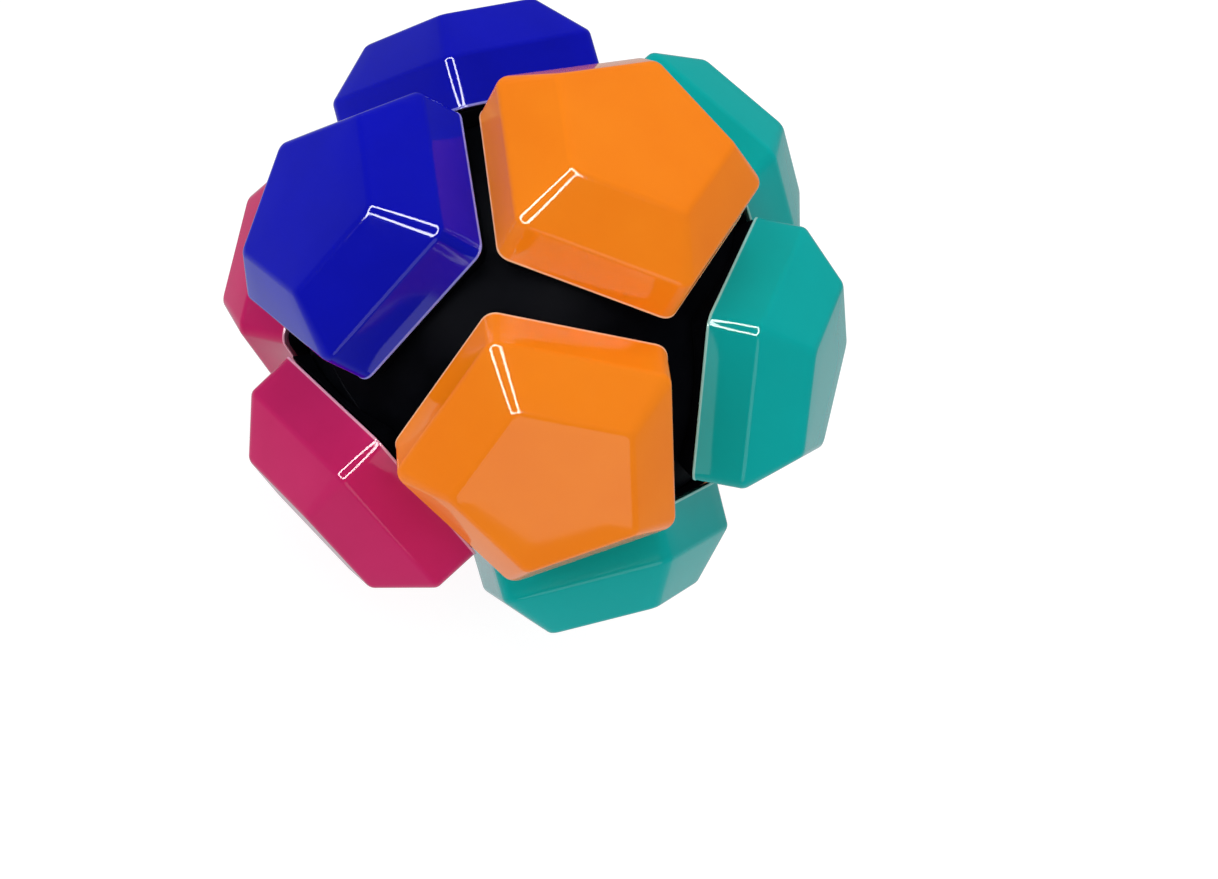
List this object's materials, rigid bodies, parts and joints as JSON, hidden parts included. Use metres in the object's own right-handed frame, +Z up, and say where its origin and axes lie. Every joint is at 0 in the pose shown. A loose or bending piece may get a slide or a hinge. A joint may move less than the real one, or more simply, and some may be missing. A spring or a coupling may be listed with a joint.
{
  "type": "dodecahedron twisty puzzle",
  "caption": "Dodecahedron twisty puzzle: a hollow black ball carries glossy pentagonal knobs in orange, teal, blue and pink that turn on their own axes and sway over the ball.",
  "frame": {"origin": "Centre of the flat top of the bottom knob, the face the puzzle stands on.", "axes": "+Z is up, along the axis through the bottom and top knobs. -Y faces the side seen first, between the orange front knob and its lower neighbours, and +X is to its right."},
  "size_m": [0.0865, 0.0842, 0.084],
  "materials": {
    "orange_plastic": "polished injection-moulded plastic, warm orange, softly rounded edges",
    "teal_plastic": "polished injection-moulded plastic, teal, softly rounded edges",
    "blue_plastic": "polished injection-moulded plastic, deep blue, softly rounded edges",
    "pink_plastic": "polished injection-moulded plastic, deep pink, softly rounded edges",
    "black_plastic": "smooth satin black moulded plastic of the ball and the knobs' feet",
    "washer_steel": "plain spring steel, domed",
    "screw_steel": "zinc-plated steel screw with a round driving socket"
  },
  "bodies": {
    "root": {"ball_upper_half": "black_plastic", "ball_lower_half": "black_plastic"},
    "carriage_orange_top": {"washer_orange_top": "washer_steel"},
    "knob_orange_top": {"cap_orange_top": "orange_plastic", "foot_orange_top": "black_plastic", "screw_orange_top": "screw_steel"},
    "carriage_orange_front": {"washer_orange_front": "washer_steel"},
    "knob_orange_front": {"cap_orange_front": "orange_plastic", "foot_orange_front": "black_plastic", "screw_orange_front": "screw_steel"},
    "carriage_teal_right": {"washer_teal_right": "washer_steel"},
    "knob_teal_right": {"cap_teal_right": "teal_plastic", "foot_teal_right": "black_plastic", "screw_teal_right": "screw_steel"},
    "carriage_teal_back": {"washer_teal_back": "washer_steel"},
    "knob_teal_back": {"cap_teal_back": "teal_plastic", "foot_teal_back": "black_plastic", "screw_teal_back": "screw_steel"},
    "carriage_blue_back": {"washer_blue_back": "washer_steel"},
    "knob_blue_back": {"cap_blue_back": "blue_plastic", "foot_blue_back": "black_plastic", "screw_blue_back": "screw_steel"},
    "carriage_blue_left": {"washer_blue_left": "washer_steel"},
    "knob_blue_left": {"cap_blue_left": "blue_plastic", "foot_blue_left": "black_plastic", "screw_blue_left": "screw_steel"},
    "carriage_teal_low_front": {"washer_teal_low_front": "washer_steel"},
    "knob_teal_low_front": {"cap_teal_low_front": "teal_plastic", "foot_teal_low_front": "black_plastic", "screw_teal_low_front": "screw_steel"},
    "carriage_orange_low_right": {"washer_orange_low_right": "washer_steel"},
    "knob_orange_low_right": {"cap_orange_low_right": "orange_plastic", "foot_orange_low_right": "black_plastic", "screw_orange_low_right": "screw_steel"},
    "carriage_blue_low_back": {"washer_blue_low_back": "washer_steel"},
    "knob_blue_low_back": {"cap_blue_low_back": "blue_plastic", "foot_blue_low_back": "black_plastic", "screw_blue_low_back": "screw_steel"},
    "carriage_pink_low_left": {"washer_pink_low_left": "washer_steel"},
    "knob_pink_low_left": {"cap_pink_low_left": "pink_plastic", "foot_pink_low_left": "black_plastic", "screw_pink_low_left": "screw_steel"},
    "carriage_pink_low_front": {"washer_pink_low_front": "washer_steel"},
    "knob_pink_low_front": {"cap_pink_low_front": "pink_plastic", "foot_pink_low_front": "black_plastic", "screw_pink_low_front": "screw_steel"},
    "carriage_pink_bottom": {"washer_pink_bottom": "washer_steel"},
    "knob_pink_bottom": {"cap_pink_bottom": "pink_plastic", "foot_pink_bottom": "black_plastic", "screw_pink_bottom": "screw_steel"}
  },
  "joints": [
    {"name": "sway_orange_top", "type": "hinge", "parent": "root", "child": "carriage_orange_top", "pos_m": [0, 0, 0.042], "axis": [0.9455, 0.3256, 0], "range_deg": [-2, 3.5]},
    {"name": "turn_orange_top", "type": "hinge", "parent": "carriage_orange_top", "child": "knob_orange_top", "pos_m": [0, 0, 0.042], "axis": [0, 0, 1], "range_deg": [-10, 12]},
    {"name": "sway_orange_front", "type": "hinge", "parent": "root", "child": "carriage_orange_front", "pos_m": [0, 0, 0.042], "axis": [-0.851, -0.4426, -0.2828], "range_deg": [-0.5, 4]},
    {"name": "turn_orange_front", "type": "hinge", "parent": "carriage_orange_front", "child": "knob_orange_front", "pos_m": [0, 0, 0.042], "axis": [0.3149, -0.8609, 0.3997], "range_deg": [-6.5, 2.5]},
    {"name": "sway_teal_right", "type": "hinge", "parent": "root", "child": "carriage_teal_right", "pos_m": [0, 0, 0.042], "axis": [0.4297, -0.3088, -0.8485], "range_deg": [-1, 5]},
    {"name": "turn_teal_right", "type": "hinge", "parent": "carriage_teal_right", "child": "knob_teal_right", "pos_m": [0, 0, 0.042], "axis": [0.8998, 0.068, 0.4309], "range_deg": [-5, 7.5]},
    {"name": "sway_teal_back", "type": "hinge", "parent": "root", "child": "carriage_teal_back", "pos_m": [0, 0, 0.042], "axis": [0.9563, -0.2924, 0], "range_deg": [-1, 7]},
    {"name": "turn_teal_back", "type": "hinge", "parent": "carriage_teal_back", "child": "knob_teal_back", "pos_m": [0, 0, 0.042], "axis": [0.268, 0.8766, 0.3998], "range_deg": [-3.5, 12]},
    {"name": "sway_blue_back", "type": "hinge", "parent": "root", "child": "carriage_blue_back", "pos_m": [0, 0, 0.042], "axis": [-0.3663, 0.2565, -0.8944], "range_deg": [-0.5, 2]},
    {"name": "turn_blue_back", "type": "hinge", "parent": "carriage_blue_back", "child": "knob_blue_back", "pos_m": [0, 0, 0.042], "axis": [-0.7225, 0.5272, 0.4471], "range_deg": [-1.5, 2]},
    {"name": "sway_blue_left", "type": "hinge", "parent": "root", "child": "carriage_blue_left", "pos_m": [0, 0, 0.042], "axis": [0.5551, -0.0467, 0.8305], "range_deg": [0, 9]},
    {"name": "turn_blue_left", "type": "hinge", "parent": "carriage_blue_left", "child": "knob_blue_left", "pos_m": [0, 0, 0.042], "axis": [-0.7512, -0.4569, 0.4764], "range_deg": [-2, 1.5]},
    {"name": "sway_teal_low_front", "type": "hinge", "parent": "root", "child": "carriage_teal_low_front", "pos_m": [0, 0, 0.042], "axis": [0.3663, -0.2565, 0.8944], "range_deg": [-0.5, 3]},
    {"name": "turn_teal_low_front", "type": "hinge", "parent": "carriage_teal_low_front", "child": "knob_teal_low_front", "pos_m": [0, 0, 0.042], "axis": [0.7225, -0.5272, -0.4471], "range_deg": [-2.5, 6]},
    {"name": "sway_orange_low_right", "type": "hinge", "parent": "root", "child": "carriage_orange_low_right", "pos_m": [0, 0, 0.042], "axis": [-0.6018, 0.7986, 0], "range_deg": [0, 1.5]},
    {"name": "turn_orange_low_right", "type": "hinge", "parent": "carriage_orange_low_right", "child": "knob_orange_low_right", "pos_m": [0, 0, 0.042], "axis": [0.7143, 0.5383, -0.4472], "range_deg": [-12, 3]},
    {"name": "sway_blue_low_back", "type": "hinge", "parent": "root", "child": "carriage_blue_low_back", "pos_m": [0, 0, 0.042], "axis": [0.1456, -0.4228, -0.8944], "range_deg": [-2, 3]},
    {"name": "turn_blue_low_back", "type": "hinge", "parent": "carriage_blue_low_back", "child": "knob_blue_low_back", "pos_m": [0, 0, 0.042], "axis": [-0.3076, 0.8399, -0.4471], "range_deg": [-12, 6.5]},
    {"name": "sway_pink_low_left", "type": "hinge", "parent": "root", "child": "carriage_pink_low_left", "pos_m": [0, 0, 0.042], "axis": [0.4471, 0.0078, -0.8944], "range_deg": [-0.5, 4.5]},
    {"name": "turn_pink_low_left", "type": "hinge", "parent": "carriage_pink_low_left", "child": "knob_pink_low_left", "pos_m": [0, 0, 0.042], "axis": [-0.8938, -0.0331, -0.4471], "range_deg": [-9, 3]},
    {"name": "sway_pink_low_front", "type": "hinge", "parent": "root", "child": "carriage_pink_low_front", "pos_m": [0, 0, 0.042], "axis": [-0.9138, 0.0702, 0.4], "range_deg": [0, 2.5]},
    {"name": "turn_pink_low_front", "type": "hinge", "parent": "carriage_pink_low_front", "child": "knob_pink_low_front", "pos_m": [0, 0, 0.042], "axis": [-0.2734, -0.8347, -0.4781], "range_deg": [-3.5, 12]},
    {"name": "sway_pink_bottom", "type": "hinge", "parent": "root", "child": "carriage_pink_bottom", "pos_m": [0, 0, 0.042], "axis": [0.9455, 0.3256, 0], "range_deg": [-0.5, 4.5]},
    {"name": "turn_pink_bottom", "type": "hinge", "parent": "carriage_pink_bottom", "child": "knob_pink_bottom", "pos_m": [0, 0, 0.042], "axis": [0, 0, -1], "range_deg": [-12, 8.5]}
  ]
}
